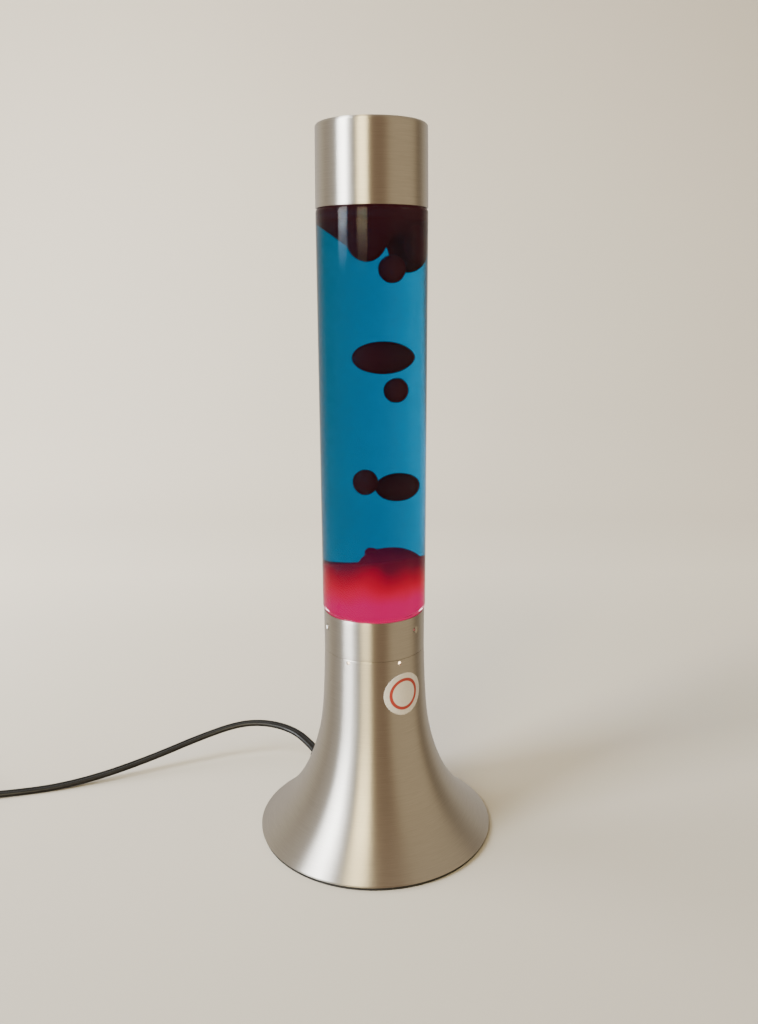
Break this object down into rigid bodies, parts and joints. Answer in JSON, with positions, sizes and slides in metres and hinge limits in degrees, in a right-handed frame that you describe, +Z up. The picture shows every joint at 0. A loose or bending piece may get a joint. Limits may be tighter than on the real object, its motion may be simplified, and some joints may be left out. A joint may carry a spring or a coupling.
{
  "type": "liquid motion lamp",
  "caption": "Slim liquid motion lamp: a straight glass bottle of blue liquid and dark red wax on a flared spun aluminium base, with a plain aluminium cap and a flat mains cord with an in-line switch.",
  "frame": {"origin": "the lamp's axis where it meets the surface it stands on", "axes": "+Z up along the lamp's axis; -Y is the front that the picture faces; +X is to the right"},
  "size_m": [0.4651, 0.1771, 0.406],
  "materials": {
    "brushed_aluminium": "spun, with fine turned lines",
    "heat_proof_ring": "matt silicone",
    "foot_rubber": "matt",
    "black_plastic": "fine texture",
    "black_rubber": "satin",
    "plated_steel": "zinc plated",
    "holder_plastic": "moulded heat-proof plastic",
    "ceramic": "unglazed ceramic",
    "contact_brass": "bright",
    "lead_insulation": "sleeved wire",
    "label": "printed vinyl",
    "cord_sheath": "satin sheath",
    "tie_fabric": "hook-and-loop strap",
    "clear_glass": "clear",
    "liner_plastic": "soft liner",
    "crown_metal": "lacquered tinplate",
    "blue_liquid": "clear dyed liquid",
    "red_wax": "soft translucent wax",
    "bulb_cap_metal": "nickel plated",
    "bulb_glass": "clear, silvered round the sides"
  },
  "bodies": {
    "base": {"base_shell": "brushed_aluminium", "collar": "brushed_aluminium", "seat_ring": "heat_proof_ring", "foot_ring": "foot_rubber", "bottom_cover": "black_plastic", "cover_screws": "plated_steel", "holder_bracket": "plated_steel", "holder_nipple": "plated_steel", "nipple_nut": "plated_steel", "lampholder_base": "holder_plastic", "lampholder_core": "ceramic", "lampholder_skirt": "holder_plastic", "lampholder_sleeve": "contact_brass", "centre_contact": "contact_brass", "holder_terminals": "contact_brass", "lead_live": "lead_insulation", "lead_neutral": "lead_insulation", "cord_clamp": "black_plastic", "clamp_screws": "plated_steel", "cord_gland": "black_rubber", "label_disc": "label", "cord_lamp_side": "cord_sheath", "cord_coil_side": "cord_sheath", "cord_coil": "cord_sheath", "cord_tail": "cord_sheath", "cord_ties": "tie_fabric", "plug_body": "black_plastic", "plug_blades": "contact_brass", "switch_base": "black_plastic", "switch_cover": "black_plastic", "rocker_pin": "plated_steel", "switch_terminals": "contact_brass", "switch_screws": "plated_steel"},
    "rocker": {"switch_rocker": "black_plastic", "rocker_bridge": "contact_brass"},
    "bottle": {"bottle_glass": "clear_glass", "closure_liner": "liner_plastic", "crown_closure": "crown_metal", "liquid": "blue_liquid", "wax_pool": "red_wax", "wax_ceiling": "red_wax", "wire_coil": "plated_steel"},
    "cap": {"cap_shell": "brushed_aluminium", "cap_insert": "black_plastic"},
    "bulb_screw": {"bulb_contact": "bulb_cap_metal"},
    "bulb": {"bulb_cap": "bulb_cap_metal", "bulb_insulator": "black_plastic", "bulb_envelope": "bulb_glass", "bulb_stem": "bulb_glass", "bulb_filament": "plated_steel"},
    "blob_top": {"wax_blob_top": "red_wax"},
    "blob_lens": {"wax_blob_lens": "red_wax"},
    "blob_small": {"wax_blob_small": "red_wax"},
    "blob_ball": {"wax_blob_ball": "red_wax"},
    "blob_oval": {"wax_blob_oval": "red_wax"}
  },
  "joints": [
    {"name": "switch_rocker_tilt", "type": "hinge", "parent": "base", "child": "rocker", "pos_m": [-0.303, 0.01365, 0.012], "axis": [0.2425, -0.9701, 0], "range_deg": [0, 18]},
    {"name": "bottle_lift", "type": "slide", "parent": "base", "child": "bottle", "axis": [0, 0, 1], "range_m": [0, 0.06]},
    {"name": "cap_lift", "type": "slide", "parent": "bottle", "child": "cap", "axis": [0, 0, 1], "range_m": [0, 0.045]},
    {"name": "bulb_rise", "type": "slide", "parent": "base", "child": "bulb_screw", "axis": [0, 0, 1], "range_m": [0, 0.00846]},
    {"name": "bulb_unscrew", "type": "hinge", "parent": "bulb_screw", "child": "bulb", "pos_m": [0, 0, 0.0525], "axis": [0, 0, 1], "range_deg": [0, 1080]},
    {"name": "blob_top_drift", "type": "slide", "parent": "bottle", "child": "blob_top", "axis": [0, 0, 1], "range_m": [-0.02, 0], "deforming": ["liquid"]},
    {"name": "blob_lens_drift", "type": "slide", "parent": "bottle", "child": "blob_lens", "axis": [0, 0, 1], "range_m": [0, 0.03], "deforming": ["liquid"]},
    {"name": "blob_small_drift", "type": "slide", "parent": "bottle", "child": "blob_small", "axis": [0, 0, 1], "range_m": [-0.025, 0], "deforming": ["liquid"]},
    {"name": "blob_ball_drift", "type": "slide", "parent": "bottle", "child": "blob_ball", "axis": [0, 0, 1], "range_m": [0, 0.008], "deforming": ["liquid"]},
    {"name": "blob_oval_drift", "type": "slide", "parent": "bottle", "child": "blob_oval", "axis": [0, 0, 1], "range_m": [-0.015, 0], "deforming": ["liquid"]}
  ],
  "couplings": [
    {"joint": "bulb_unscrew", "follows": "bulb_rise", "rad_per_m": 2228.1}
  ]
}
